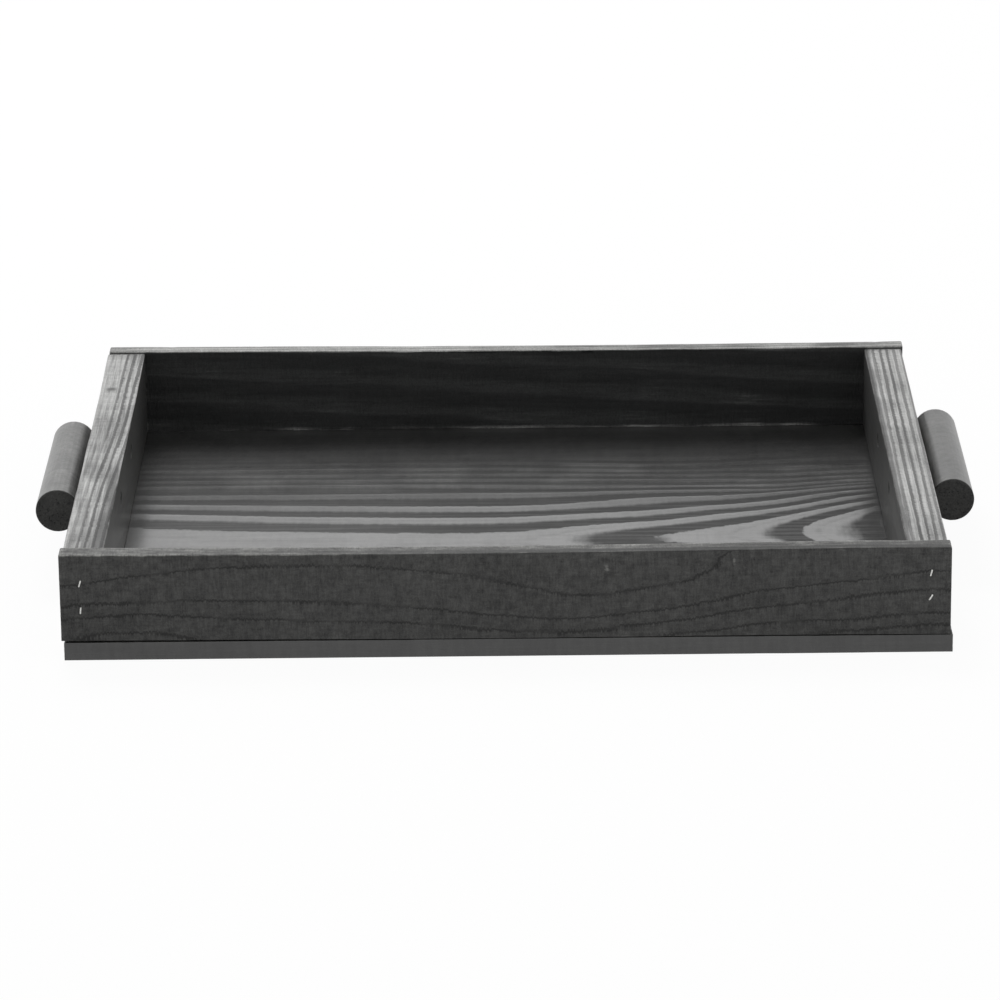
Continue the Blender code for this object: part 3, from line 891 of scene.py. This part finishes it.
for end, way in (("front", -1), ("back", 1)):
    low, high = node_box(f"{end}_board")
    outer_face = low[1] if way < 0 else high[1]
    staples = [
        (node_middle(f"corner_staple_{end}_{side}_{level}"), corner_crown(lean, way))
        for side in ("left", "right")
        for level, lean in zip(("lower", "upper"), staple_leans[side])
    ]

    def long_board_years(place):
        """The front board is flat-cut. The back board's lines are straight, and fall to the right."""
        x, y, z = place.T
        depth = (y - low[1] * 1000) / long_board_ring_depth
        if way < 0:
            return year_count(x, z, depth, front_heart, front_hills)
        return 1.5 + (44.0 - back_line_fall * x - z) / back_ring_width + depth

    def long_board_dent(flat):
        """A dent round each of the four crowns in the outer face."""
        return sum(crown_dent(flat, middle, along, 1, outer_face) for middle, along in staples)

    def long_board_shift(flat):
        """Neither edge is quite straight: the underside bows down towards the panel, and the top edge is a
        little proud at its ends. The back board is also a little short at the left."""
        bow = np.interp(flat[:, 0], long_board_places, long_board_bows[end])
        rise = np.interp(flat[:, 0], long_board_places, long_board_rises[end])
        near_top = smooth_step(shift_height, 0.0, high[2] - flat[:, 2])
        near_underside = smooth_step(shift_height, 0.0, flat[:, 2] - low[2])
        short = back_board_short * (way > 0) * smooth_step(back_board_short_over, 0.0, flat[:, 0] - low[0])
        return np.stack([short, 0 * short, rise * near_top - bow * near_underside], axis=1)

    def long_board_marks(flat, outward):
        """The front board's top edge is pale from wear along the inside and less so along the outside,
        where painted shade lies over the outer strip; its outer arris has painted shade, and two chips show
        pale in its face. The back board's top edge is pale from wear, and so are its ends above the end
        boards; a painted glint runs along its foot on the inside."""
        x, y, z = flat.T
        top = smooth_step(0.3, 0.7, outward[:, 2])
        if way < 0:
            outer = smooth_step(*front_outer_strip, y)
            chips = sum(swelling(x, z, *chip, *front_chip_reach) for chip in front_chips)
            rub_and_painted_light = np.interp(x, long_board_places, front_top_rub)
            outer_rub = np.interp(x, long_board_places, front_top_outer_rub)
            shade = np.interp(x, long_board_places, front_arris_shade)
            # Painted shade on the outer arris of the top edge.
            arris = smooth_step(0.15, 0.5, -outward[:, 1]) * (outward[:, 2] > 0.02)
            rub_and_painted_light = (rub_and_painted_light + (outer_rub - rub_and_painted_light) * outer) * top - shade * arris
            # Painted shade over the outer strip of the top edge.
            pooled = np.interp(x, long_board_places, front_top_outer_painted_shade) * outer * top
            return rub_and_painted_light + front_chip_rub * chips * (outward[:, 1] < -0.7), 1.0, pooled
        inner_face = outward[:, 1] < -0.3
        over_left = smooth_step(-0.2025, -0.2035, x)
        over_right = smooth_step(0.2025, 0.2035, x)
        over_ends = back_over_ends_rub[0] * over_left + back_over_ends_rub[1] * over_right
        rub_and_painted_light = np.interp(x, long_board_places, back_top_rub) * top
        rub_and_painted_light = rub_and_painted_light + over_ends * inner_face * (1 - top)
        # Painted glint along the foot of the inner face.
        foot = smooth_step(low[2] + back_foot_glint_strip[0], low[2] + back_foot_glint_strip[1], z) * inner_face
        uneven = 1 + 0.15 * wander(flat * (1, 0, 0), 0.012, 5)
        rub_and_painted_light = rub_and_painted_light + np.interp(x, back_foot_places, back_foot_painted_glint) * uneven * foot
        return rub_and_painted_light, 1 - 0.6 * top, 0

    # The grid is closer at the crowns, the chips, the line along the front's top edge, and the foot.
    heights = sorted(middle[2] for middle, along in staples)
    planed_board(
        f"{end}_long_board", f"{end}_board", grain=0, ease=long_board_ease, steps=long_board_steps,
        closer=(
            round_about((-corner_staple_reach, corner_staple_reach), 0.0024, 0.0003)
            + round_about([x for x, z in front_chips], *scratch_grid),
            [(-0.1712, -0.1688, 0.0005)],
            [(low[2], low[2] + 0.0021, 0.0003)]
            + [(heights[i] - 0.0026, heights[i + 1] + 0.0026, 0.0004) for i in (0, 2)],
        ),
        count=long_board_years, band=long_board_bands[end], relief=long_board_relief,
        marks=long_board_marks, dent=long_board_dent, material=long_board_woods[end],
        seed=31 + way, even_lines=way < 0, shift=long_board_shift,
    )

# Grips: a sawn length of hardwood dowel along the outside of each end board, planed flat where it meets the
# board and sanded round at its ends. Hands keep it smooth, so it has a soft even shine.

grip_ease = 0.0009
grip_relief = 0.00004
grip_band = (0.1, 0.2, 0.6)
grip_ring_width = 2.1
grip_around = 120  # points round the dowel
grip_along = 96  # rings of points between its rims
grip_cap_rings = 10
grip_rim_rings = 6
grip_figure = 0.15
grip_heart = (26, 14)  # millimetres from the dowel's axis: towards the tray, and up
grip_rub = 0.18
grip_rub_difference = 0.08  # more on the left grip, less on the right
grip_rim_rub = 0.55

grip_wood = wood_material(
    "stained_dowel",
    {
        "Fibre Stretch": (700, 30, 700),
        "Saw Stretch": (120, 260, 120),
        "Early": (0.075, 0.075, 0.072, 1),
        "Late": (0.022, 0.022, 0.021, 1),
        "Worn": (0.14, 0.14, 0.135, 1),
        "Waver": 0.25,
        "Fine Lines": 0.05,
        "Patch Contrast": 0.60,
        "Fibre Contrast": 0.18,
        "Saw Contrast": 0.35,
        "Fleck Contrast": 0.70,
        "Broken Lines": 0.5,
        "Saw Depth": 0.12,
        "Early Roughness": 0.45,
        "Late Roughness": 0.5,
        "Lacquer": 0.6,
        "Late Lacquer": 0.5,
    },
    grip_band,
    bump_depth=0.00010,
    specular=0.35,
    coat_roughness=0.3,
    coat_ior=1.5,
)


def tube_skin(rings):
    """Closed skin over a row of rings of points, which turn the way a screw turns as it is driven along the
    row: quads between neighbouring rings, and a fan of triangles to the middle of the first and of the last
    ring."""
    count, around = rings.shape[:2]
    index = np.arange(count * around).reshape(count, around)
    onward = np.roll(index, -1, axis=1)
    quads = np.stack([index[:-1], onward[:-1], onward[1:], index[1:]], axis=-1).reshape(-1, 4).tolist()
    points = np.concatenate([rings.reshape(-1, 3), rings[:1].mean(axis=1), rings[-1:].mean(axis=1)])
    first = np.stack([index[0], np.full(around, count * around), onward[0]], axis=-1).tolist()
    last = np.stack([onward[-1], np.full(around, count * around + 1), index[-1]], axis=-1).tolist()
    return points, quads + first + last


for side, way in (("left", -1), ("right", 1)):
    low, high = node_box(f"{side}_grip")
    radius = (high[2] - low[2]) / 2
    axis_x = high[0] - radius if way > 0 else low[0] + radius
    axis_z = (low[2] + high[2]) / 2
    flat_reach = abs((low[0] if way > 0 else high[0]) - axis_x)

    # The profile, of (distance from the axis, place along it), runs over the front end, round its eased
    # rim, along the dowel and down the back end. It is turned about the axis, and cut at the planed flat.
    turns = np.linspace(0, math.pi / 2, grip_rim_rings)
    rim_reach = radius - grip_ease * (1 - np.sin(turns))
    rim = np.stack([rim_reach, low[1] + grip_ease * (1 - np.cos(turns))], axis=1)
    cap_reach = np.linspace(0.08, 0.9, grip_cap_rings) * radius
    cap = np.stack([cap_reach, np.full(grip_cap_rings, low[1])], axis=1)
    body_run = np.linspace(low[1] + grip_ease, high[1] - grip_ease, grip_along + 2)[1:-1]
    body = np.stack([np.full(grip_along, radius), body_run], axis=1)
    front = np.concatenate([cap, rim])
    back = front[::-1] * (1, -1) + (0, low[1] + high[1])
    profile = np.concatenate([front, body, back])
    angle = np.linspace(0, -math.tau, grip_around, endpoint=False)
    reach, run = profile[:, 0][:, None], profile[:, 1][:, None] + 0 * angle
    offset_x = np.clip(reach * np.cos(angle) * way, -flat_reach, radius) * way
    offset_z = reach * np.sin(angle)
    rings = np.stack([axis_x + offset_x, run, axis_z + offset_z], axis=-1)

    # The years are counted from a heart that lies outside the dowel, above it and towards the tray.
    place = rings.reshape(-1, 3)
    from_heart_x = (place[:, 0] - axis_x) * 1000 + grip_heart[0] * way
    from_heart_z = (place[:, 2] - axis_z) * 1000 - grip_heart[1]
    years = np.hypot(from_heart_x, from_heart_z) / grip_ring_width
    years = years + 0.5 * wander(place * (1, 0.35, 1), 0.03, 41 + way)
    sunk = grip_relief * (1 - dark_band(years, grip_band)).reshape(rings.shape[:2])
    on_side = smooth_step(0.9, 1.0, reach / radius)
    rings[..., 0] -= np.cos(angle) * sunk * on_side
    rings[..., 2] -= np.sin(angle) * sunk * on_side
    points, faces = tube_skin(rings)

    # The ends are end grain up to the rim's last ring, and just past it the dowel is rubbed thin.
    end_rings = np.ones(grip_cap_rings + grip_rim_rings - 1)
    side_rings = np.zeros(len(profile) - 2 * len(end_rings))
    on_end = np.repeat(np.concatenate([end_rings, side_rings, end_rings]), grip_around)
    past_rim = np.minimum(np.abs(place[:, 1] - low[1]), np.abs(place[:, 1] - high[1])) - 1.4 * grip_ease
    rim_rub = grip_rim_rub * np.exp(-((past_rim / 0.0007) ** 2))
    rubbed = (grip_rub - grip_rub_difference * way + rim_rub) * (1 - on_end)
    cap_years = (years[:grip_around].mean(), years[-grip_around:].mean())
    values = (
        ("years", np.append(years, cap_years)),
        ("ring_width", 1.0),
        ("rubbed", np.append(rubbed, (0, 0))),
        ("figure", grip_figure),
        ("pooled", 0.2 + 0.2 * way),
        ("end_grain", np.append(on_end, (1, 1))),
    )
    make_piece(f"dowel_{side}", points, faces, grip_wood, [f"{side}_grip"], values)

# Staples: narrow crowns of bright flat wire, shot in a little below the wood. Two hold each corner through
# the long boards, and four come up through the panel into each end board.

wire_width = 0.0009
wire_depth = 0.0010
wire_squareness = 0.45  # 1 would make the wire round
staple_crown = 0.0042
staple_length = 0.028
staple_bend = 0.0004
staple_bend_points = 5
staple_leg_places = np.array((0.3, 0.7, 0.93, 1.0))  # of the points down a leg, as shares of it
staple_leg_depths = np.array((1.0, 1.0, 0.95, 0.3))  # of the wire there, as it narrows to the chisel point
wire_around = 16

staple_steel = bpy.data.materials.new("bright_staple_wire")
staple_steel.use_nodes = True
tree = staple_steel.node_tree
shader = tree.nodes["Principled BSDF"]
shader.inputs["Metallic"].default_value = 1.0
drawn = add_node(tree, "TexCoord", output="Object")
scratches = noise(tree, drawn, 4000.0, 3.0)
spots = noise(tree, drawn, 1500.0, 2.0)
steel_colour = blend(tree, spots, (0.55, 0.55, 0.53, 1), (0.72, 0.72, 0.70, 1))
tree.links.new(steel_colour, shader.inputs["Base Color"])
tree.links.new(ramp(tree, scratches, 0.0, 1.0, 0.28, 0.5), shader.inputs["Roughness"])


def staple_skin(middle, along, inward):
    """A staple as a rounded bar carried along a U: up one leg, round a bend, over the crown and down again.
    The crown's face lies at the middle point, along its direction, and the legs go inward to a chisel
    point. The bar's section is a circle's, with each coordinate raised to the squareness."""
    half = staple_crown / 2 - wire_depth / 2
    turns = np.linspace(0, math.pi / 2, staple_bend_points)
    bend_run = half - staple_bend + staple_bend * np.sin(turns)
    bend_drop = wire_depth / 2 + staple_bend * (1 - np.cos(turns))
    leg_drop = staple_leg_places * (staple_length - bend_drop[-1]) + bend_drop[-1]
    leg = np.ones(len(leg_drop))

    # Half of the U, from the crown's middle to a leg's point: how far each section of the wire lies along
    # the crown and below its face, how far it is turned, and how deep it is. The other half mirrors it.
    run = np.concatenate([[0.0], bend_run, half * leg])
    drop = np.concatenate([[wire_depth / 2], bend_drop, leg_drop])
    lean = np.concatenate([[0.0], turns, math.pi / 2 * leg])
    scale = np.concatenate([[1.0], np.ones(staple_bend_points), staple_leg_depths])
    run, lean = (np.concatenate([-values[:0:-1], values]) for values in (run, lean))
    drop, scale = (np.concatenate([values[:0:-1], values]) for values in (drop, scale))
    angle = np.linspace(0, math.tau, wire_around, endpoint=False)
    wide = wire_width / 2 * np.sign(np.cos(angle)) * np.abs(np.cos(angle)) ** wire_squareness
    deep = wire_depth / 2 * np.sign(np.sin(angle)) * np.abs(np.sin(angle)) ** wire_squareness
    across = np.cross(along, inward)
    outside = np.sin(lean)[:, None] * along - np.cos(lean)[:, None] * inward
    centre = middle + run[:, None] * along + drop[:, None] * inward
    thickness = (scale[:, None] * deep)[..., None] * outside[:, None]
    return tube_skin(centre[:, None] + wide[None, :, None] * across + thickness)


def make_staple(name, node, along, inward):
    """A staple in the place of its CAD node, whose middle is half a leg in from the crown's face."""
    middle = node_middle(node) - inward * staple_length / 2
    points, faces = staple_skin(middle, along, inward)
    make_piece(name, points, faces, staple_steel, [node])


for side in ("left", "right"):
    for end, way in (("front", -1), ("back", 1)):
        for level, lean in zip(("lower", "upper"), staple_leans[side]):
            make_staple(
                f"{end}_{side}_{level}_staple", f"corner_staple_{end}_{side}_{level}",
                corner_crown(lean, way), np.array((0, -way, 0)),
            )
    for row in range(1, 5):
        make_staple(
            f"panel_staple_{side}_{row}", f"base_staple_{side}_{row}",
            base_staple_crown, np.array((0, 0, 1)),
        )

# Grip screws: black countersunk wood screws with a cross recess, driven from inside each end board into its
# dowel. They keep the solid's own shape and get the dull skin of phosphated steel.

screw_steel = bpy.data.materials.new("black_phosphate_steel")
screw_steel.use_nodes = True
tree = screw_steel.node_tree
shader = tree.nodes["Principled BSDF"]
shader.inputs["Metallic"].default_value = 0.8
screw_place = add_node(tree, "TexCoord", output="Object")
crystals = noise(tree, screw_place, 3500.0, 3.0)
steel_colour = blend(tree, crystals, (0.022, 0.022, 0.023, 1), (0.05, 0.05, 0.052, 1))
tree.links.new(steel_colour, shader.inputs["Base Color"])
tree.links.new(ramp(tree, crystals, 0.0, 1.0, 0.4, 0.6), shader.inputs["Roughness"])
for side in ("left", "right"):
    for end in ("front", "back"):
        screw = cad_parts[f"grip_screw_{side}_{end}"]
        screw.data.materials.clear()
        screw.data.materials.append(screw_steel)
